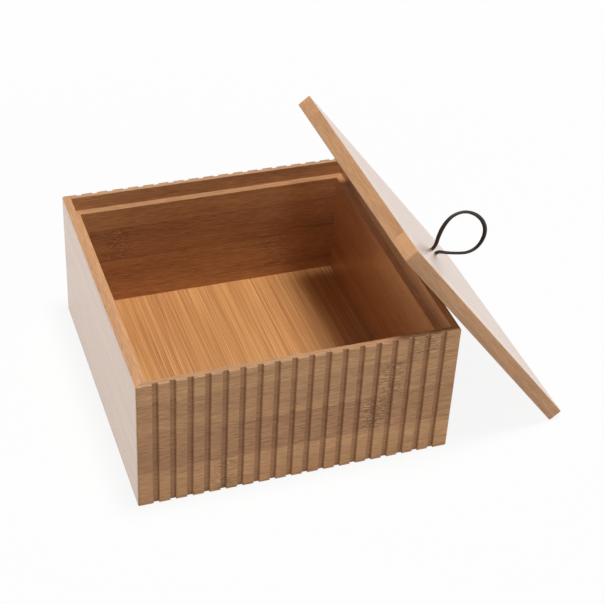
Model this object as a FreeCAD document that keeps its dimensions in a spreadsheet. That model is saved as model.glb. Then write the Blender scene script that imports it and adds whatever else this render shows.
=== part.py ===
# Bamboo storage box with fluted front and back boards and a lift-off lid with a leather cord loop.
# Lengths are in millimetres. The origin is the centre of the box's underside, X runs to the right,
# Y to the back and Z up. The lid is off the box and leans on the top edge of the right board.
import FreeCAD
import Part

import math
import os

import Sketcher
from FreeCAD import Placement, Rotation, Vector

doc = FreeCAD.newDocument("storage_box")

# Driving sizes
SIZES = {
    "box_width": 158.0,
    "box_depth": 159.5,
    "box_height": 73.5,
    "fluted_wall": 7.5,
    "plain_wall": 7.8,
    "fluted_rim": 3.5,
    "plain_rim": 4.0,
    "corner_round": 1.0,
    "edge_round": 0.6,
    "flute_pitch": 8.25,
    "flute_width": 2.8,
    "flute_depth": 1.3,
    "flute_bevel": 0.3,
    "corner_land": 7.0,
    "floor_thickness": 6.0,
    "floor_ledge": 4.0,
    "floor_play": 0.2,
    "lid_top_thickness": 5.0,
    "lid_under_thickness": 2.5,
    "lid_set_down": 0.5,
    "lid_end_clearance": 1.0,
    "lid_side_clearance": 2.5,
    "cord_diameter": 1.8,
    "cord_hole": 2.2,
    "hole_spacing": 4.0,
    "hole_offset": 1.0,
    "knot_height": 4.4,
    "knot_depth": 5.2,
    "tail_length": 8.0,
    "tail_splay": 50.0,
    "lean_tilt": 52.25,
    "lean_turn": 0.8,
    "lean_setback": 2.4,
    "lean_gap": 0.3,
}
sheet = doc.addObject("Spreadsheet::Sheet", "sizes")
for row, (alias, value) in enumerate(SIZES.items(), start=1):
    sheet.set(f"A{row}", alias)
    sheet.set(f"B{row}", str(value))
    sheet.setAlias(f"B{row}", alias)
doc.recompute()

# Distances that several pieces share, as expressions on the driving sizes
HALF_WIDTH = "sizes.box_width / 2"
HALF_DEPTH = "sizes.box_depth / 2"
CAVITY_X = "(sizes.box_width / 2 - sizes.plain_wall)"
CAVITY_Y = "(sizes.box_depth / 2 - sizes.fluted_wall)"
SEAT_X = "(sizes.box_width / 2 - sizes.plain_rim)"
SEAT_Y = "(sizes.box_depth / 2 - sizes.fluted_rim)"
LID_THICKNESS = "(sizes.lid_top_thickness + sizes.lid_under_thickness)"
LID_LONG = f"({SEAT_Y} - sizes.lid_end_clearance)"
LID_SHORT = f"({SEAT_X} - sizes.lid_side_clearance)"


def number(expression):
    """Value of an expression on the driving sizes."""
    return float(sheet.evalExpression(expression))


def new_sketch(body, name, level="0"):
    """Sketch on a level plane of the body, at a height given as an expression."""
    sketch = body.newObject("Sketcher::SketchObject", name)
    plane = next(item for item in body.Origin.OriginFeatures if item.Role == "XY_Plane")
    sketch.AttachmentSupport = [(plane, "")]
    sketch.MapMode = "FlatFace"
    sketch.setExpression("AttachmentOffset.Base.z", level)
    return sketch


def pin(sketch, geometry, point, x, y):
    """Hold one point of a sketch at two expressions from the sketch's origin."""
    for kind, expression in (("DistanceX", x), ("DistanceY", y)):
        held = Sketcher.Constraint(kind, -1, 1, geometry, point, number(expression))
        index = sketch.addConstraint(held)
        sketch.setExpression(f"Constraints[{index}]", expression)


def outline(sketch, corners):
    """Closed outline of straight lines through corners given as pairs of expressions."""
    points = [Vector(number(x), number(y), 0) for x, y in corners]
    first = sketch.GeometryCount
    count = len(points)
    for i in range(count):
        sketch.addGeometry(Part.LineSegment(points[i], points[(i + 1) % count]), False)
    for i in range(count):
        sketch.addConstraint(Sketcher.Constraint("Coincident", first + i, 2, first + (i + 1) % count, 1))
        pin(sketch, first + i, 1, *corners[i])


def rectangle(sketch, half_x, half_y):
    """Rectangle centred on the sketch's origin."""
    outline(sketch, [(f"-{half_x}", f"-{half_y}"), (half_x, f"-{half_y}"),
                     (half_x, half_y), (f"-{half_x}", half_y)])


def pad(body, name, sketch, length):
    """Prism raised from a sketch."""
    feature = body.newObject("PartDesign::Pad", name)
    feature.Profile = sketch
    feature.setExpression("Length", length)
    doc.recompute()
    return feature


def pocket(body, name, sketch, depth, upward=False):
    """Cut below a sketch, or above it, which has to take some material away."""
    before = body.Shape.Volume
    feature = body.newObject("PartDesign::Pocket", name)
    feature.Profile = sketch
    feature.Reversed = upward
    feature.setExpression("Length", depth)
    doc.recompute()
    if body.Shape.Volume >= before:
        raise RuntimeError(f"{name} cuts nothing")
    return feature


def round_edges(body, name, radius, wanted):
    """Fillet on the edges of the body's last feature that the test picks."""
    base = body.Tip
    edges = [f"Edge{i}" for i, edge in enumerate(base.Shape.Edges, start=1) if wanted(edge)]
    feature = body.newObject("PartDesign::Fillet", name)
    feature.Base = (base, edges)
    feature.setExpression("Radius", radius)
    doc.recompute()


def upright(edge):
    """True for a vertical edge."""
    return abs(edge.tangentAt(edge.FirstParameter).z) > 0.99


def at_level(*levels):
    """Test that picks the edges lying flat at one of the heights."""
    def wanted(edge):
        box = edge.BoundBox
        return any(abs(box.ZMin - level) < 1e-4 and abs(box.ZMax - level) < 1e-4 for level in levels)
    return wanted


# Carcass: the four walls as one block, with the cavity, the lid seat, the floor rebate and the flutes
carcass = doc.addObject("PartDesign::Body", "carcass")
block_outline = new_sketch(carcass, "block_outline")
rectangle(block_outline, HALF_WIDTH, HALF_DEPTH)
pad(carcass, "block", block_outline, "sizes.box_height")
round_edges(carcass, "corner_rounds", "sizes.corner_round", upright)
round_edges(carcass, "outer_rounds", "sizes.edge_round", at_level(0, number("sizes.box_height")))

cavity_outline = new_sketch(carcass, "cavity_outline", "sizes.box_height")
rectangle(cavity_outline, CAVITY_X, CAVITY_Y)
pocket(carcass, "cavity", cavity_outline, "sizes.box_height")

seat_outline = new_sketch(carcass, "seat_outline", "sizes.box_height")
rectangle(seat_outline, SEAT_X, SEAT_Y)
pocket(carcass, "lid_seat", seat_outline, f"{LID_THICKNESS} + sizes.lid_set_down")

rebate_outline = new_sketch(carcass, "rebate_outline")
rectangle(rebate_outline, f"({CAVITY_X} + sizes.floor_ledge)", f"({CAVITY_Y} + sizes.floor_ledge)")
pocket(carcass, "floor_rebate", rebate_outline, "sizes.floor_thickness", upward=True)

# As many flutes as the pitch allows between the plain lands at the corners
FLUTE_STEPS = "floor((sizes.box_width - 2 * sizes.corner_land - sizes.flute_width) / sizes.flute_pitch)"
FLUTE_CENTRE = f"(-{FLUTE_STEPS} * sizes.flute_pitch / 2)"
FLUTE_MOUTH = "(sizes.flute_width / 2 + sizes.flute_bevel)"
flute_outline = new_sketch(carcass, "flute_outline", "sizes.box_height")
for side in ("-", ""):
    inward = "+" if side else "-"
    face = f"{side}({HALF_DEPTH})"
    clear = f"{face} {'-' if side else '+'} sizes.flute_depth"
    bevel = f"{face} {inward} sizes.flute_bevel"
    bottom = f"{face} {inward} sizes.flute_depth"
    outline(flute_outline, [
        (f"{FLUTE_CENTRE} - {FLUTE_MOUTH}", clear),
        (f"{FLUTE_CENTRE} - {FLUTE_MOUTH}", face),
        (f"{FLUTE_CENTRE} - sizes.flute_width / 2", bevel),
        (f"{FLUTE_CENTRE} - sizes.flute_width / 2", bottom),
        (f"{FLUTE_CENTRE} + sizes.flute_width / 2", bottom),
        (f"{FLUTE_CENTRE} + sizes.flute_width / 2", bevel),
        (f"{FLUTE_CENTRE} + {FLUTE_MOUTH}", face),
        (f"{FLUTE_CENTRE} + {FLUTE_MOUTH}", clear),
    ])
flute = pocket(carcass, "flute", flute_outline, "sizes.box_height")
flutes = carcass.newObject("PartDesign::LinearPattern", "flutes")
flutes.Originals = [flute]
flutes.Direction = (flute_outline, ["H_Axis"])
flutes.setExpression("Length", f"{FLUTE_STEPS} * sizes.flute_pitch")
flutes.setExpression("Occurrences", f"{FLUTE_STEPS} + 1")
carcass.Tip = flutes
doc.recompute()


def mitred_board(name, half_span, outer, wall, mate, low_side, turned):
    """One board of the carcass, between two mitre planes that run from the outer to the inner corners."""
    wedge = doc.addObject("Part::Wedge", f"{name}_mitre")
    near, far = (f"-({outer})", f"-({outer}) + {wall}") if low_side else (f"{outer} - {wall}", outer)
    wide, narrow = half_span, f"({half_span} - {mate})"
    at_near, at_far = (wide, narrow) if low_side else (narrow, wide)
    limits = {"Xmin": f"-({at_near})", "Xmax": at_near, "X2min": f"-({at_far})", "X2max": at_far,
              "Ymin": near, "Ymax": far,
              "Zmin": "0", "Z2min": "0", "Zmax": "sizes.box_height", "Z2max": "sizes.box_height"}
    for limit, expression in limits.items():
        wedge.setExpression(limit, expression)
    if turned:
        wedge.Placement = Placement(Vector(), Rotation(Vector(0, 0, 1), -90))
    board = doc.addObject("Part::Common", name)
    board.Base = carcass
    board.Tool = wedge
    return board


# Four boards, mitred at the corners
boards = [
    mitred_board("front_panel", HALF_WIDTH, HALF_DEPTH, "sizes.fluted_wall", "sizes.plain_wall", True, False),
    mitred_board("back_panel", HALF_WIDTH, HALF_DEPTH, "sizes.fluted_wall", "sizes.plain_wall", False, False),
    mitred_board("left_panel", HALF_DEPTH, HALF_WIDTH, "sizes.plain_wall", "sizes.fluted_wall", True, True),
    mitred_board("right_panel", HALF_DEPTH, HALF_WIDTH, "sizes.plain_wall", "sizes.fluted_wall", False, True),
]

# Floor board, let into the rebate and flush with the underside
floor_panel = doc.addObject("Part::Box", "floor_panel")
floor_panel.setExpression("Length", f"2 * ({CAVITY_X} + sizes.floor_ledge - sizes.floor_play)")
floor_panel.setExpression("Width", f"2 * ({CAVITY_Y} + sizes.floor_ledge - sizes.floor_play)")
floor_panel.setExpression("Height", "sizes.floor_thickness")
floor_panel.setExpression("Placement.Base.x", f"-({CAVITY_X} + sizes.floor_ledge - sizes.floor_play)")
floor_panel.setExpression("Placement.Base.y", f"-({CAVITY_Y} + sizes.floor_ledge - sizes.floor_play)")


def lid_ply(name, thickness, top, rounded):
    """One layer of the lid with its two cord holes, hung from a height below the lid's top face."""
    body = doc.addObject("PartDesign::Body", name)
    bottom = f"{top} - {thickness}"
    ply_outline = new_sketch(body, f"{name}_outline", bottom)
    rectangle(ply_outline, LID_LONG, LID_SHORT)
    pad(body, f"{name}_board", ply_outline, thickness)
    round_edges(body, f"{name}_corners", "sizes.corner_round", upright)
    round_edges(body, f"{name}_edges", "sizes.edge_round", at_level(number(rounded)))
    holes = new_sketch(body, f"{name}_holes", top)
    for side in ("-", "+"):
        place = f"-sizes.hole_offset {side} sizes.hole_spacing / 2"
        circle = holes.addGeometry(Part.Circle(Vector(number(place), 0, 0), Vector(0, 0, 1),
                                               number("sizes.cord_hole / 2")), False)
        pin(holes, circle, 3, place, "0")
        bore = holes.addConstraint(Sketcher.Constraint("Diameter", circle, number("sizes.cord_hole")))
        holes.setExpression(f"Constraints[{bore}]", "sizes.cord_hole")
    pocket(body, f"{name}_bores", holes, thickness)
    return body


# Lid of two layers glued face to face. In its own frame the top face is at zero, X runs down the slope
# and Y along the depth of the box.
lid_top = lid_ply("lid_top_ply", "sizes.lid_top_thickness", "0", "0")
lid_under = lid_ply("lid_under_ply", "sizes.lid_under_thickness", "-sizes.lid_top_thickness",
                    f"-{LID_THICKNESS}")

# Where the lid leans: its lower edge stands on the table and its underside lies near the right board's top
# edge, closest at the lid's back end because the lid is turned a little. Both edges are rounded.
tilt = math.radians(number("sizes.lean_tilt"))
turn = math.radians(number("sizes.lean_turn"))
level = Vector(math.cos(turn), math.sin(turn), 0)
depthwise = Vector(-math.sin(turn), math.cos(turn), 0)
up = Vector(0, 0, 1)
slope = level * math.cos(tilt) - up * math.sin(tilt)
outward = level * math.sin(tilt) + up * math.cos(tilt)
edge_round = number("sizes.edge_round")
foot_height = -edge_round * (math.sin(tilt) + math.cos(tilt) - 1)
foot_y = number(f"sizes.lean_setback - {HALF_DEPTH}")
wall_x = number(HALF_WIDTH) - edge_round
wall_height = number("sizes.box_height") - edge_round - foot_height
reach = edge_round + number("sizes.lean_gap") + outward.y * number(f"2 * {LID_SHORT}")
foot_x = wall_x + (reach + outward.z * wall_height) / outward.x
foot = Vector(foot_x, foot_y, foot_height)
lid_centre = (foot - slope * number(LID_LONG) + depthwise * number(LID_SHORT)
              + outward * number(LID_THICKNESS))
lean = Placement(lid_centre, Rotation(slope, depthwise, outward, "ZXY"))
lid_top.Placement = lean
lid_under.Placement = lean

# Cord legs: straight through the two holes, from the underside to the top face
legs = []
for leg_name, side in (("cord_leg_upper", "-"), ("cord_leg_lower", "+")):
    leg = doc.addObject("Part::Cylinder", leg_name)
    leg.setExpression("Radius", "sizes.cord_diameter / 2")
    leg.setExpression("Height", LID_THICKNESS)
    leg_x = number(f"-sizes.hole_offset {side} sizes.hole_spacing / 2")
    leg.Placement = lean.multiply(Placement(Vector(leg_x, 0, number(f"-{LID_THICKNESS}")), Rotation()))
    legs.append(leg)

# Knot under the lid: a flattened ball with a flat top against the underside, and two splayed tails
KNOT_CUT = 30.0
knot_ball = doc.addObject("Part::Ellipsoid", "knot_ball")
knot_radius = f"(sizes.knot_height / (1 + sin({KNOT_CUT} deg)))"
knot_ball.setExpression("Radius1", knot_radius)
knot_ball.setExpression("Radius2", "sizes.hole_spacing / 2 + sizes.cord_diameter")
knot_ball.setExpression("Radius3", "sizes.knot_depth / 2")
knot_ball.Angle2 = KNOT_CUT
knot_centre = Vector(number("-sizes.hole_offset"), 0,
                     number(f"-{LID_THICKNESS} - {knot_radius} * sin({KNOT_CUT} deg)"))
knot_ball.Placement = Placement(knot_centre, Rotation())
tails = []
for tail_name, turn_sign in (("front_tail", 1), ("back_tail", -1)):
    tail = doc.addObject("Part::Cylinder", tail_name)
    tail.setExpression("Radius", "sizes.cord_diameter / 2")
    tail.setExpression("Height", "sizes.tail_length")
    splay = Rotation(Vector(1, 0, 0), turn_sign * (180 - number("sizes.tail_splay")))
    tail.Placement = Placement(knot_centre, splay)
    tails.append(tail)
knot = doc.addObject("Part::MultiFuse", "cord_knot")
knot.Shapes = [knot_ball, *tails]
knot.Placement = lean

# Cord loop: points of its route as distances up the slope from the pair of holes and above the lid
half_spacing = number("sizes.hole_spacing / 2")
LOOP = [
    (half_spacing, 0.0),
    (half_spacing, 1.5),
    (3.3, 4.0),
    (6.1, 7.0),
    (9.7, 12.3),
    (11.6, 18.9),
    (9.1, 25.0),
    (3.5, 28.6),
    (-3.4, 29.8),
    (-10.0, 28.3),
    (-14.9, 24.0),
    (-17.1, 18.2),
    (-15.7, 13.1),
    (-12.1, 9.4),
    (-7.9, 5.9),
    (-4.5, 3.5),
    (-2.7, 2.3),
    (-half_spacing, 1.2),
    (-half_spacing, 0.0),
]
ROUND_SHARE = 0.45


def rounded_route(points):
    """Straight runs joined by tangent arcs, each as large as its two runs allow."""
    edges = []
    start = points[0]
    for before, corner, after in zip(points, points[1:], points[2:]):
        back = before - corner
        ahead = after - corner
        half_turn = (math.pi - back.getAngle(ahead)) / 2
        cut = ROUND_SHARE * min(back.Length, ahead.Length)
        radius = cut / math.tan(half_turn)
        print(f"cord bend radius {radius:.1f} mm, turn {math.degrees(2 * half_turn):.0f} degrees")
        back.normalize()
        ahead.normalize()
        entry = corner + back * cut
        leave = corner + ahead * cut
        bisector = (back + ahead).normalize()
        middle = corner + bisector * (radius / math.cos(half_turn) - radius)
        edges.append(Part.LineSegment(start, entry).toShape())
        edges.append(Part.Arc(entry, middle, leave).toShape())
        start = leave
    edges.append(Part.LineSegment(start, points[-1]).toShape())
    return Part.Wire(edges)


route = rounded_route([Vector(-number("sizes.hole_offset") - along, 0, height) for along, height in LOOP])
cord_radius = number("sizes.cord_diameter / 2")
section = Part.Wire(Part.makeCircle(cord_radius, route.Edges[0].Vertexes[0].Point, Vector(0, 0, 1)))
loop = doc.addObject("Part::Feature", "cord_loop")
loop.Shape = route.makePipeShell([section], True, False)
loop.Placement = lean
ideal = math.pi * cord_radius ** 2 * route.Length
print(f"cord loop length {route.Length:.1f} mm, volume {loop.Shape.Volume / ideal:.4f} of section times length")

doc.recompute()

# Checks, then one file for each piece
pieces = [*boards, floor_panel, lid_top, lid_under, loop, *legs, knot]
for item in doc.Objects:
    if "Invalid" in item.State or "Error" in item.State:
        raise RuntimeError(f"{item.Label} failed: {item.State}")
for piece in pieces:
    if piece.Shape.isNull() or not piece.Shape.isValid():
        raise RuntimeError(f"{piece.Label} has no valid shape")
    if len(piece.Shape.Solids) != 1:
        raise RuntimeError(f"{piece.Label} is not one solid")
os.makedirs("parts", exist_ok=True)
for piece in pieces:
    piece.Shape.exportStep(f"parts/{piece.Label}.step")
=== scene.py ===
# Dresses a bamboo storage box with fluted front and back boards, whose loose lid leans on its right side.
# Places and sizes are in metres in the frame of the solids: X to the right, Y to the back, Z up.
import math

import bmesh
import bpy
from mathutils import Matrix, Vector


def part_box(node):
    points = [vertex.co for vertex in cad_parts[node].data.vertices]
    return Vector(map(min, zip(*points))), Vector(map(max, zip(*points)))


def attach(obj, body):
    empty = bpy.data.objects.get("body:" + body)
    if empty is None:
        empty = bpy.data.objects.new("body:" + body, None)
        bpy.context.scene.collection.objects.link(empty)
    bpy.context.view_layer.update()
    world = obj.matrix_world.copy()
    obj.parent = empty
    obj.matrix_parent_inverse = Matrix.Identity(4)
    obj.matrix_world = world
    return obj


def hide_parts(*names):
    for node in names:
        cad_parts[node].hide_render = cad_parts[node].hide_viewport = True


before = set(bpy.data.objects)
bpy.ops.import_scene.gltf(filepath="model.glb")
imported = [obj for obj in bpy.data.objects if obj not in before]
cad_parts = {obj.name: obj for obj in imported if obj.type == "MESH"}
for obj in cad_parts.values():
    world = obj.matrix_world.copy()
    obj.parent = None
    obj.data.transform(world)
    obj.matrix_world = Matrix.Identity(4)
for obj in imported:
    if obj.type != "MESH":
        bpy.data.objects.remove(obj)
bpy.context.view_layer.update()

# Fluted boards: the front and back of the box, bamboo strips glued edge to edge into boards that are stained
# caramel and lacquered. The strips lie level, and the flutes were milled across them before the corners were
# mitred and glued.


def node(tree, kind, inputs=(), **settings):
    """Shader node with its settings, and its inputs as plain values or as outputs of other nodes."""
    new = tree.nodes.new("ShaderNode" + kind)
    for name, value in settings.items():
        setattr(new, name, value)
    for name, value in dict(inputs).items():
        if isinstance(value, bpy.types.NodeSocket):
            tree.links.new(value, new.inputs[name])
        else:
            new.inputs[name].default_value = value
    return new


def maths(tree, operation, *values, clamp=False):
    """Result of a sum on values or outputs of other nodes."""
    return node(tree, "Math", enumerate(values), operation=operation, use_clamp=clamp).outputs[0]


def split(tree, vector):
    """Three parts of a vector."""
    return node(tree, "SeparateXYZ", {"Vector": vector}).outputs


def joined(tree, *parts):
    """Vector of three parts."""
    return node(tree, "CombineXYZ", enumerate(parts)).outputs[0]


def spread(tree, value, gain, middle=0.5):
    """Stretches a value about a middle, which becomes one half."""
    return maths(tree, "MULTIPLY_ADD", maths(tree, "SUBTRACT", value, middle), gain, 0.5)


def kept_in(tree, value):
    """Value held between nought and one."""
    return maths(tree, "MAXIMUM", value, 0.0, clamp=True)


def blended(tree, first, second, share):
    """Sum of two values, the first by its share and the second by what is left of one."""
    return maths(tree, "MULTIPLY_ADD", first, share, maths(tree, "MULTIPLY", second, 1 - share))


def mixed(tree, kind, share, first, second):
    """Colour or vector that goes from the first to the second with the share."""
    return node(tree, "Mix", {"Factor": share, "A": first, "B": second}, data_type=kind).outputs["Result"]


def pattern_group(name, inputs, outputs):
    """Empty node group with named inputs, each with a first value, and named outputs."""
    group = bpy.data.node_groups.new(name, "ShaderNodeTree")
    for title, value in inputs.items():
        kind = "NodeSocketVector" if title == "Place" else "NodeSocketFloat"
        socket = group.interface.new_socket(title, in_out="INPUT", socket_type=kind)
        if value is not None:
            socket.default_value = value
    for title in outputs:
        group.interface.new_socket(title, in_out="OUTPUT", socket_type="NodeSocketFloat")
    return group, group.nodes.new("NodeGroupInput").outputs, group.nodes.new("NodeGroupOutput").inputs


# Grain of a glued bamboo board. Place runs along the strips, across them and through the board.
GLUE_WIDTH = 0.0003
ROW_SLIDE = 0.37
ROW_CONTRAST = 1.1
ROW_SHARE = 0.4
BROAD_SHARE = 0.45
grain, given, result = pattern_group(
    "bamboo_grain",
    {"Place": None, "Strip Width": 0.02, "First Strip": 0.0, "Seed": 0.0, "Streak Length": 0.016,
     "Streak Width": 0.0009},
    ("Tone", "Streak", "Vein", "Glue Line"),
)
way = split(grain, given["Place"])
from_first = maths(grain, "SUBTRACT", way["Y"], given["First Strip"])
row = maths(grain, "DIVIDE", from_first, given["Strip Width"])
row_number = maths(grain, "ADD", maths(grain, "FLOOR", row), given["Seed"])
row_tone = node(grain, "TexWhiteNoise", {"W": row_number}, noise_dimensions="1D").outputs["Value"]
slid = maths(grain, "MULTIPLY_ADD", row_number, ROW_SLIDE, way["X"])
fibre_place = joined(grain, slid, way["Y"], way["Z"])
streak_size = joined(grain, given["Streak Length"], given["Streak Width"], given["Streak Width"])
streak_place = node(grain, "VectorMath", {0: fibre_place, 1: streak_size}, operation="DIVIDE").outputs[0]


def fibres(size, detail, gain, middle=0.5):
    """Noise drawn out along the strips, so many times the size of a streak each way, and stretched."""
    scale = [1 / times for times in size]
    drawn = node(grain, "Mapping", {"Vector": streak_place, "Scale": scale}).outputs[0]
    noise = node(grain, "TexNoise", {"Vector": drawn, "Scale": 1.0, "Detail": detail}).outputs[0]
    return spread(grain, noise, gain, middle)


cloud = fibres(size=(6, 11, 11), detail=2.0, gain=1.5)
broad_streak = fibres(size=(1, 0.8, 0.8), detail=3.0, gain=2.6)
hair = fibres(size=(0.4, 0.36, 0.36), detail=2.0, gain=3.6)
vein = fibres(size=(4, 3, 3), detail=2.0, gain=7.0, middle=0.7)
tone = blended(grain, spread(grain, row_tone, ROW_CONTRAST), cloud, ROW_SHARE)
streak = blended(grain, broad_streak, hair, BROAD_SHARE)
glue_distance = maths(grain, "MULTIPLY", maths(grain, "PINGPONG", row, 0.5), given["Strip Width"])
glue = maths(grain, "SUBTRACT", 1.0, maths(grain, "DIVIDE", glue_distance, GLUE_WIDTH))
for title, value in (("Tone", tone), ("Streak", streak), ("Vein", vein), ("Glue Line", glue)):
    grain.links.new(kept_in(grain, value), result[title])

# One joint of the stalk in one strip: a darker patch with rows of short dark and pale dashes
STRIP_EDGE_CONTRAST = 9.0
STRIP_EDGE_LEVEL = 0.06
DASH_SCALE = (420, 1900, 1900)
DASH_WANDER = 0.3
DASH_CONTRAST = 9.0
DARK_DASH_LEVEL = 0.56
PALE_DASH_LEVEL = 0.40
joint_mark, given, result = pattern_group(
    "bamboo_joint",
    {"Place": None, "Along": 0.0, "Across": 0.0, "Strip Width": 0.02, "Reach": 0.009},
    ("Shade", "Dark Dash", "Pale Dash"),
)
way = split(joint_mark, given["Place"])
off_middle = maths(joint_mark, "SUBTRACT", way["X"], given["Along"])
off_share = maths(joint_mark, "DIVIDE", off_middle, given["Reach"])
off_square = maths(joint_mark, "MULTIPLY", off_share, off_share)
lengthwise = maths(joint_mark, "SUBTRACT", 1.0, off_square, clamp=True)
off_row = maths(joint_mark, "ABSOLUTE", maths(joint_mark, "SUBTRACT", way["Y"], given["Across"]))
half_strip = maths(joint_mark, "MULTIPLY", given["Strip Width"], 0.5)
from_edge = maths(joint_mark, "SUBTRACT", 1.0, maths(joint_mark, "DIVIDE", off_row, half_strip))
in_row = kept_in(joint_mark, spread(joint_mark, from_edge, STRIP_EDGE_CONTRAST, STRIP_EDGE_LEVEL))
zone = maths(joint_mark, "MULTIPLY", lengthwise, in_row)
dash_place = node(joint_mark, "Mapping", {"Vector": given["Place"], "Scale": DASH_SCALE}).outputs[0]
dashes = node(joint_mark, "TexNoise", {
    "Vector": dash_place, "Scale": 1.0, "Detail": 1.0, "Distortion": DASH_WANDER,
}).outputs[0]
dark_dash = kept_in(joint_mark, spread(joint_mark, dashes, DASH_CONTRAST, DARK_DASH_LEVEL))
pale_dash = kept_in(joint_mark, spread(joint_mark, dashes, -DASH_CONTRAST, PALE_DASH_LEVEL))
for title, value in (("Shade", 1.0), ("Dark Dash", dark_dash), ("Pale Dash", pale_dash)):
    joint_mark.links.new(maths(joint_mark, "MULTIPLY", zone, value), result[title])


def patterned(tree, group, place, **values):
    """Pattern group placed in a material with its own values."""
    pattern = node(tree, "Group", node_tree=group)
    tree.links.new(place, pattern.inputs["Place"])
    for name, value in values.items():
        pattern.inputs[name.replace("_", " ").title()].default_value = value
    return pattern.outputs


def laid(axes):
    """Turns a place in the box's frame to the ways along, across and through the strips."""
    def lay(tree, place):
        parts = split(tree, place)
        return joined(tree, *(parts[axis] for axis in axes))
    return lay


# Lacquer, heavier on some faces of a board than on the others
FACING_CONTRAST = 4.0
FACING_LEVEL = 0.85


def coated(face, there, elsewhere):
    """One coat of lacquer on the faces that look along face, either way, and another on the rest."""
    def coat(tree):
        normal = node(tree, "NewGeometry").outputs["Normal"]
        facing = node(tree, "VectorMath", {0: normal, 1: face}, operation="DOT_PRODUCT").outputs["Value"]
        looks_there = spread(tree, maths(tree, "ABSOLUTE", facing), FACING_CONTRAST, FACING_LEVEL)
        return maths(tree, "MULTIPLY_ADD", kept_in(tree, looks_there), there - elsewhere, elsewhere)
    return coat


def empty_tree(owner):
    """Cleared node tree of a material or of the world."""
    owner.use_nodes = True
    owner.node_tree.nodes.clear()
    return owner.node_tree


# How far glue lines, veins and joints shade the bamboo, and how far a joint's pale dashes lighten it
GLUE_SHADE = 0.25
VEIN_SHADE = 0.32
JOINT_SHADE = 0.16
DARK_DASH_SHADE = 0.30
PALE_DASH_LIFT = 0.60
DEEP_SHARE = 0.3
HUE_LOW = 0.4965
HUE_SPAN = 0.005

# Gloss of the lacquer, and the fine relief of the fibres under it
SMOOTHEST = 0.4
ROUGH_SPAN = 0.14
COAT_ROUGHNESS = 0.22
RELIEF_HEIGHT = 0.00012
RELIEF_STRENGTH = 0.2


def bamboo(name, lay, coat, dark, pale, joints=(), stain=None, more_shade=None, shine=0.5,
           streak_share=0.55, **strips):
    """Lacquered bamboo. Each joint has its places along and across the strips, its reach and its strength."""
    material = bpy.data.materials.new(name)
    tree = empty_tree(material)
    place = node(tree, "TexCoord").outputs["Object"]
    turned = lay(tree, place)
    board = patterned(tree, grain, turned, **strips)
    blend = blended(tree, board["Streak"], board["Tone"], streak_share)
    shade = maths(tree, "MULTIPLY", board["Vein"], VEIN_SHADE)
    shade = maths(tree, "MULTIPLY_ADD", board["Glue Line"], GLUE_SHADE, shade)
    for along, across, reach, strength in joints:
        mark = patterned(tree, joint_mark, turned, along=along, across=across, reach=reach,
                         strip_width=strips["strip_width"])
        shade = maths(tree, "MULTIPLY_ADD", mark["Shade"], JOINT_SHADE * strength, shade)
        shade = maths(tree, "MULTIPLY_ADD", mark["Dark Dash"], DARK_DASH_SHADE * strength, shade)
        blend = maths(tree, "MULTIPLY_ADD", mark["Pale Dash"], PALE_DASH_LIFT * strength, blend)
    if more_shade:
        shade = maths(tree, "ADD", shade, more_shade(tree, place))
    # Painted shade, where given, hides a share of the pale fibres
    if stain:
        blend = maths(tree, "MULTIPLY", blend, maths(tree, "SUBTRACT", 1.0, stain(tree, place)))
    wood = mixed(tree, "RGBA", kept_in(tree, blend), (*dark, 1), (*pale, 1))
    hue = maths(tree, "MULTIPLY_ADD", board["Tone"], HUE_SPAN, HUE_LOW)
    tinted = node(tree, "HueSaturation", {"Hue": hue, "Color": wood}).outputs[0]
    deep = [DEEP_SHARE * channel for channel in dark]
    relief = maths(tree, "SUBTRACT", board["Streak"], shade)
    bump = node(tree, "Bump", {"Strength": RELIEF_STRENGTH, "Distance": RELIEF_HEIGHT, "Height": relief})
    skin = node(tree, "BsdfPrincipled", {
        "Base Color": mixed(tree, "RGBA", kept_in(tree, shade), tinted, (*deep, 1)),
        "Roughness": maths(tree, "MULTIPLY_ADD", board["Streak"], ROUGH_SPAN, SMOOTHEST),
        "Specular IOR Level": shine,
        "Normal": bump.outputs[0],
        "Coat Weight": coat(tree),
        "Coat Roughness": COAT_ROUGHNESS,
    })
    node(tree, "OutputMaterial", {"Surface": skin.outputs[0]})
    return material


def finish_node(name, material):
    """Gives a solid of the frame its finish."""
    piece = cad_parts[name]
    piece.data.materials.clear()
    piece.data.materials.append(material)


# Painted shade on the fluted boards: the flutes' floors and the faces that look up, such as the top edges,
# are painted darker
FLUTE_DEPTH = 0.0013
DEEPEST_FLUTE = 1.3 * FLUTE_DEPTH
SUNK_CONTRAST = 4.0
SUNK_LEVEL = 0.8
FLUTED_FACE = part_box("back_panel")[1].y
BOX_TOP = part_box("back_panel")[1].z
TOP_MARGIN = 0.0004
UPWARD_LEVEL = 0.7
# Shares of the pale fibres hidden by painted shade in the flutes' floors and on the faces that look up
FLUTE_FLOOR_SHADE = 0.3
UPWARD_FACE_SHADE = 0.2


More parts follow.
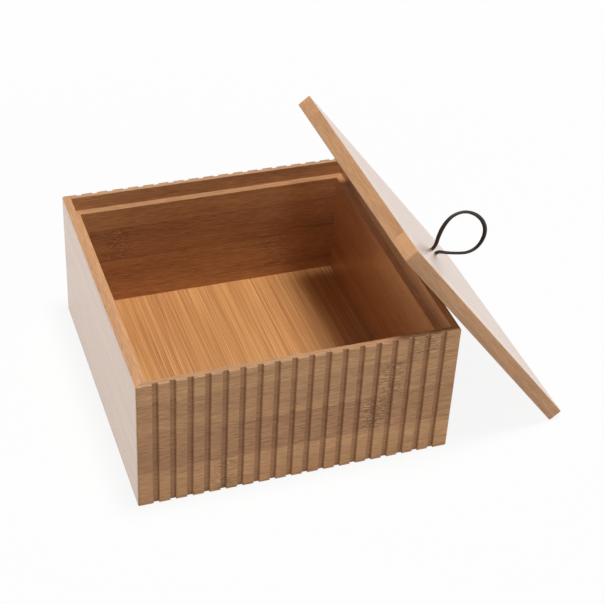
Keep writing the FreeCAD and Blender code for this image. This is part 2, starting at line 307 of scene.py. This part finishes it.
def flute_painted_shade(tree, place):
    """Share of the pale fibres hidden by painted shade in the flutes' floors and on the faces that look up.
    """
    upward = split(tree, node(tree, "NewGeometry").outputs["Normal"])["Z"]
    # Painted shade on the faces that look up
    facing_up = maths(tree, "GREATER_THAN", upward, UPWARD_LEVEL)
    parts = split(tree, place)
    # Painted shade in the flutes' floors, below the top edge
    depth = maths(tree, "SUBTRACT", FLUTED_FACE, maths(tree, "ABSOLUTE", parts["Y"]))
    depth_share = maths(tree, "DIVIDE", depth, FLUTE_DEPTH)
    sunk = kept_in(tree, spread(tree, depth_share, SUNK_CONTRAST, SUNK_LEVEL))
    outer = maths(tree, "LESS_THAN", depth, DEEPEST_FLUTE)
    below_top = maths(tree, "LESS_THAN", parts["Z"], BOX_TOP - TOP_MARGIN)
    flute_floor_mask = maths(tree, "MULTIPLY", sunk, maths(tree, "MULTIPLY", outer, below_top))
    return maths(tree, "MULTIPLY_ADD", flute_floor_mask, FLUTE_FLOOR_SHADE, maths(tree, "MULTIPLY", facing_up, UPWARD_FACE_SHADE))


BOARD_STRIP = 0.0205
FLUTED = {
    "lay": laid("XZY"),
    "coat": coated(face=(0, 0, 1), there=0.4, elsewhere=0.0),
    "dark": (0.214, 0.098, 0.045),
    "pale": (0.780, 0.438, 0.211),
    # Painted shade in the flutes and on the faces that look up
    "stain": flute_painted_shade,
    "shine": 0.2,
    "strip_width": BOARD_STRIP,
}
FRONT_JOINTS = (
    (0.0455, 0.05125, 0.010, 1.0),
    (0.0385, 0.03075, 0.010, 1.1),
    (0.0620, 0.07175, 0.012, 1.0),
    (-0.037, 0.01025, 0.006, 0.9),
)
BACK_JOINTS = (
    (-0.052, 0.04305, 0.009, 0.8),
    (0.036, 0.02255, 0.010, 0.5),
)
finish_node("front_panel", bamboo("front_bamboo", joints=FRONT_JOINTS, seed=3.0, **FLUTED))
finish_node("back_panel", bamboo("back_bamboo", joints=BACK_JOINTS, first_strip=0.0123, seed=11.0, **FLUTED))

# Plain boards: the left and right sides, from the same glued strips as the fluted ones but left smooth. Their
# mitred ends are glued to the fluted boards.
PLAIN = {
    "lay": laid("YZX"),
    "coat": coated(face=(1, 0, 0), there=0.95, elsewhere=0.1),
    "dark": (0.350, 0.152, 0.054),
    "pale": (0.770, 0.425, 0.195),
    "strip_width": BOARD_STRIP,
}
LEFT_JOINTS = ((0.021, 0.03875, 0.010, 0.5),)
RIGHT_JOINTS = ((-0.030, 0.05125, 0.010, 0.5),)
finish_node("left_panel", bamboo("left_bamboo", joints=LEFT_JOINTS, first_strip=0.008, seed=23.0, **PLAIN))
finish_node("right_panel", bamboo("right_bamboo", joints=RIGHT_JOINTS, seed=37.0, **PLAIN))

# Floor board: narrow bamboo strips on edge, running from front to back, with a thin coat of lacquer all over.
# The board is let into a rebate under the four sides and glued there.
FLOOR_COAT = 0.1
finish_node("floor_panel", bamboo(
    "floor_bamboo", laid("YXZ"), lambda tree: FLOOR_COAT, dark=(0.320, 0.122, 0.030),
    pale=(0.850, 0.440, 0.160), streak_share=0.8, strip_width=0.0046, seed=5.0, streak_length=0.15,
    streak_width=0.0008,
))

# Lid: two layers of bamboo glued face to face, with strips that run along the depth of the box and a strip
# across each end. It is loose, and leans with its lower edge on the table and its underside on the right
# board's top edge.
LEAN_TILT = math.radians(52.25)
LEAN_TURN = math.radians(0.8)
LID_TOP_THICKNESS = 0.005
END_STRIP_START = 0.0560
MIDDLE_SHADE = 0.18
low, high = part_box("lid_top_ply")
lean_axes = Matrix.Rotation(LEAN_TURN, 4, "Z") @ Matrix.Rotation(LEAN_TILT, 4, "Y")
outward = lean_axes.to_3x3() @ Vector((0, 0, 1))
lean = Matrix.Translation((low + high) / 2 + outward * LID_TOP_THICKNESS / 2) @ lean_axes


def in_lid(tree, place):
    """Place in the lid's own frame: down the slope, along the depth, and out of its top."""
    return node(tree, "Mapping", {"Vector": place, "Location": lean.translation, "Rotation": lean.to_euler()},
                vector_type="TEXTURE").outputs[0]


def lid_lay(tree, place):
    """Strips along the depth, but across it near both ends."""
    lid_place = in_lid(tree, place)
    parts = split(tree, lid_place)
    at_end = maths(tree, "GREATER_THAN", maths(tree, "ABSOLUTE", parts["Y"]), END_STRIP_START)
    middle = joined(tree, parts["Y"], parts["X"], parts["Z"])
    return mixed(tree, "VECTOR", at_end, middle, lid_place)


def darker_middle(tree, place):
    """Shade of the middle strips, darker than the end strips, and of the fine glue line between them."""
    parts = split(tree, in_lid(tree, place))
    inward = maths(tree, "SUBTRACT", END_STRIP_START, maths(tree, "ABSOLUTE", parts["Y"]))
    off_line = maths(tree, "DIVIDE", maths(tree, "ABSOLUTE", inward), GLUE_WIDTH)
    line = maths(tree, "SUBTRACT", 1.0, off_line, clamp=True)
    middle = maths(tree, "GREATER_THAN", inward, 0.0)
    return maths(tree, "MULTIPLY_ADD", middle, MIDDLE_SHADE, maths(tree, "MULTIPLY", line, GLUE_SHADE))


LID = {
    "lay": lid_lay,
    "coat": coated(face=outward, there=1.0, elsewhere=0.1),
    "more_shade": darker_middle,
    "strip_width": 0.0185,
    "first_strip": 0.0005,
}
finish_node("lid_top_ply", bamboo(
    "lid_top_bamboo", dark=(0.330, 0.143, 0.051), pale=(0.725, 0.400, 0.183), seed=41.0, **LID,
))
finish_node("lid_under_ply", bamboo(
    "lid_under_bamboo", dark=(0.330, 0.150, 0.057), pale=(0.690, 0.388, 0.184), seed=53.0, **LID,
))

# Cord: a leather lace, dark brown and a little flat, that comes up through one hole in the lid, goes round in
# a loop to lift it by and goes down through the other hole.
CORD_DIAMETER = 0.0018
HOLE_OFFSET = 0.001
HALF_SPACING = 0.002

# Points of the loop: up the slope from the holes, above the lid, and the lace's thickness there as it turns
LOOP_ROUTE = [
    (HALF_SPACING, 0.0, 1.0), (HALF_SPACING, 0.0015, 1.0), (0.0033, 0.0040, 1.1), (0.0061, 0.0070, 1.2),
    (0.0097, 0.0123, 1.2), (0.0116, 0.0189, 1.0), (0.0091, 0.0250, 0.85), (0.0035, 0.0286, 1.05),
    (-0.0034, 0.0298, 1.25), (-0.0100, 0.0283, 1.3), (-0.0149, 0.0240, 1.15), (-0.0171, 0.0182, 1.0),
    (-0.0157, 0.0131, 0.9), (-0.0121, 0.0094, 0.85), (-0.0079, 0.0059, 0.85), (-0.0045, 0.0035, 0.95),
    (-0.0027, 0.0023, 1.0), (-HALF_SPACING, 0.0012, 1.0), (-HALF_SPACING, 0.0, 1.0),
]

# Dark leather with a dull shine and fine creases
LACE_DARK = (0.016, 0.010, 0.008, 1)
LACE_WORN = (0.050, 0.032, 0.024, 1)
WEAR_SCALE = 420.0
PORE_SCALE = 2600.0
CREASE_DETAIL = 3.0
PORE_HEIGHT = 0.0001
PORE_STRENGTH = 0.35
LACE_SMOOTHEST = 0.45
LACE_ROUGH_SPAN = 0.2
LACE_SHINE = 0.3
leather = bpy.data.materials.new("cord_leather")
tree = empty_tree(leather)
place = node(tree, "TexCoord").outputs["Object"]
worn = node(tree, "TexNoise", {"Vector": place, "Scale": WEAR_SCALE, "Detail": CREASE_DETAIL}).outputs[0]
pores = node(tree, "TexNoise", {"Vector": place, "Scale": PORE_SCALE, "Detail": CREASE_DETAIL}).outputs[0]
bump = node(tree, "Bump", {"Strength": PORE_STRENGTH, "Distance": PORE_HEIGHT, "Height": pores})
skin = node(tree, "BsdfPrincipled", {
    "Base Color": mixed(tree, "RGBA", worn, LACE_DARK, LACE_WORN),
    "Roughness": maths(tree, "MULTIPLY_ADD", pores, LACE_ROUGH_SPAN, LACE_SMOOTHEST),
    "Specular IOR Level": LACE_SHINE,
    "Normal": bump.outputs[0],
})
node(tree, "OutputMaterial", {"Surface": skin.outputs[0]})
for leg in ("cord_leg_upper", "cord_leg_lower"):
    finish_node(leg, leather)


def lace_curve(name, points, girths=None):
    """Lace along a smooth line through the lid's frame, as thick at each point as its girth says."""
    curve = bpy.data.curves.new(name, "CURVE")
    curve.dimensions = "3D"
    spline = curve.splines.new("NURBS")
    spline.points.add(len(points) - 1)
    for target, point, girth in zip(spline.points, points, girths or [1.0] * len(points)):
        target.co = (*(lean @ Vector(point)), 1)
        target.radius = girth
    spline.order_u = 3
    spline.use_endpoint_u = True
    spline.resolution_u = 10
    curve.bevel_depth = CORD_DIAMETER / 2
    curve.bevel_resolution = 5
    curve.use_fill_caps = True
    curve.materials.append(leather)
    piece = bpy.data.objects.new(name, curve)
    bpy.context.scene.collection.objects.link(piece)
    return piece


loop_points = [(-HOLE_OFFSET - along, 0, height) for along, height, girth in LOOP_ROUTE]
loop = lace_curve("handle_loop", loop_points, [girth for along, height, girth in LOOP_ROUTE])
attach(loop, "lid")
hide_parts("cord_loop")

# Knot: the two ends of the cord tied together in one overhand knot, pulled up against the lid's underside,
# with short tails cut square.
LID_THICKNESS = 0.0075
KNOT_DROP = 0.0025
KNOT_MIDDLE = Vector((-HOLE_OFFSET, 0, -LID_THICKNESS - KNOT_DROP))
KNOT_RADIUS = 0.00085
KNOT_DEPTH = 1.4
KNOT_STEPS = 16
KNOT_START = 0.1
KNOT_TURN = 0.8
ENTRY_HEIGHT = 0.0016
knot_points = [KNOT_MIDDLE + Vector((HALF_SPACING, 0, ENTRY_HEIGHT))]
for step in range(KNOT_STEPS):
    angle = 2 * math.pi * (KNOT_START + KNOT_TURN * step / (KNOT_STEPS - 1))
    knot_points.append(KNOT_MIDDLE + KNOT_RADIUS * Vector((
        math.sin(angle) + 2 * math.sin(2 * angle),
        math.cos(angle) - 2 * math.cos(2 * angle),
        -KNOT_DEPTH * math.sin(3 * angle),
    )))
knot_points.append(KNOT_MIDDLE + Vector((-HALF_SPACING, 0, ENTRY_HEIGHT)))
knot = lace_curve("cord_overhand_knot", knot_points)
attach(knot, "lid")
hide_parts("cord_knot")

# Each tail leaves the knot, bends down and sways a little; its points are shares of sway, reach and drop
TAIL_SWAY = 0.0004
TAIL_REACH = 0.0058
TAIL_DROP = 0.0044
TAIL_ROUTE = ((0, 0.2, 0), (0, 0.6, 0.4), (1, 1, 1))
for side, label in ((-1, "front"), (1, "back")):
    tail = lace_curve(f"cord_tail_{label}", [
        KNOT_MIDDLE + Vector((sway * side * TAIL_SWAY, reach * side * TAIL_REACH, -drop * TAIL_DROP))
        for sway, reach, drop in TAIL_ROUTE
    ])
    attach(tail, "lid")
lean @ Vector(loop_points[0])

# Table: a plain white sweep that the box stands on, white to the camera and in reflections, with a soft
# shadow round the box that fades out.
TABLE_HALF = 3.0
TABLE_PAINT = (0.9, 0.9, 0.9, 1)
WHITE = (1, 1, 1, 1)
SHADOW_SHARE = 0.12
SHADOW_REACH = 0.6
table_mesh = bmesh.new()
bmesh.ops.create_grid(table_mesh, x_segments=1, y_segments=1, size=TABLE_HALF)
table_data = bpy.data.meshes.new("table")
table_mesh.to_mesh(table_data)
table_mesh.free()
table = bpy.data.objects.new("table", table_data)
bpy.context.scene.collection.objects.link(table)


def seen_directly(tree):
    """One for rays from the camera, and for mirrored and passing rays."""
    ray = node(tree, "LightPath").outputs
    shiny = maths(tree, "MAXIMUM", ray["Is Glossy Ray"], ray["Is Transmission Ray"])
    return maths(tree, "MAXIMUM", ray["Is Camera Ray"], shiny)


table_white = bpy.data.materials.new("table_white")
tree = empty_tree(table_white)
plain = node(tree, "BsdfDiffuse", {"Color": TABLE_PAINT})
bright = node(tree, "Emission", {"Color": WHITE, "Strength": 1.0})
place = node(tree, "TexCoord").outputs["Object"]
off = node(tree, "VectorMath", {0: place}, operation="LENGTH").outputs["Value"]
fade = maths(tree, "MULTIPLY_ADD", off, -1 / SHADOW_REACH, 1.0, clamp=True)
unshaded = maths(tree, "MULTIPLY_ADD", fade, -SHADOW_SHARE, 1.0)
share = maths(tree, "MULTIPLY", seen_directly(tree), unshaded)
paint = node(tree, "MixShader", {0: share, 1: plain.outputs[0], 2: bright.outputs[0]})
node(tree, "OutputMaterial", {"Surface": paint.outputs[0]})
table_data.materials.append(table_white)

# Studio: a white room for the eye, a soft box overhead, and three weak ones low down at the front right, at
# the front left and at the back left.
ROOM_LIGHT = 0.04
LOW_AIM = (0, 0, 0.05)
world = bpy.data.worlds.new("studio")
bpy.context.scene.world = world
tree = empty_tree(world)
dim = node(tree, "Background", {"Color": WHITE, "Strength": ROOM_LIGHT})
white = node(tree, "Background", {"Color": WHITE, "Strength": 1.0})
room = node(tree, "MixShader", {0: seen_directly(tree), 1: dim.outputs[0], 2: white.outputs[0]})
node(tree, "OutputWorld", {"Surface": room.outputs[0]})


def soft_box(name, place, aim, size, power):
    """Square lamp that faces a point."""
    lamp = bpy.data.lights.new(name, "AREA")
    lamp.size = size
    lamp.energy = power
    piece = bpy.data.objects.new(name, lamp)
    piece.location = place
    piece.rotation_euler = (Vector(aim) - Vector(place)).to_track_quat("-Z", "Y").to_euler()
    bpy.context.scene.collection.objects.link(piece)


soft_box("overhead", place=(0.06, -0.03, 1.3), aim=(0, 0, 0), size=0.25, power=14.3)
soft_box("front right", place=(1.1, -1.3, 0.25), aim=LOW_AIM, size=0.4, power=6.3)
soft_box("front left", place=(-1.2, -1.0, 0.25), aim=LOW_AIM, size=0.4, power=1.8)
soft_box("low back left", place=(-1.3, 0.75, 0.16), aim=LOW_AIM, size=0.3, power=5.3)

# Camera: a long lens that looks down from the front, a little from the left
SENSOR_WIDTH = 36.0
LENS = 91.01
CAMERA_PLACE = (-0.19500, -0.58488, 0.51621)
CAMERA_ANGLES = (52.7776, -2.7210, -18.7809)
camera_data = bpy.data.cameras.new("camera")
camera_data.sensor_width = SENSOR_WIDTH
camera_data.lens = LENS
camera = bpy.data.objects.new("camera", camera_data)
camera.location = CAMERA_PLACE
camera.rotation_euler = [math.radians(angle) for angle in CAMERA_ANGLES]
bpy.context.scene.collection.objects.link(camera)
bpy.context.scene.camera = camera
bpy.context.scene.view_settings.view_transform = "Standard"
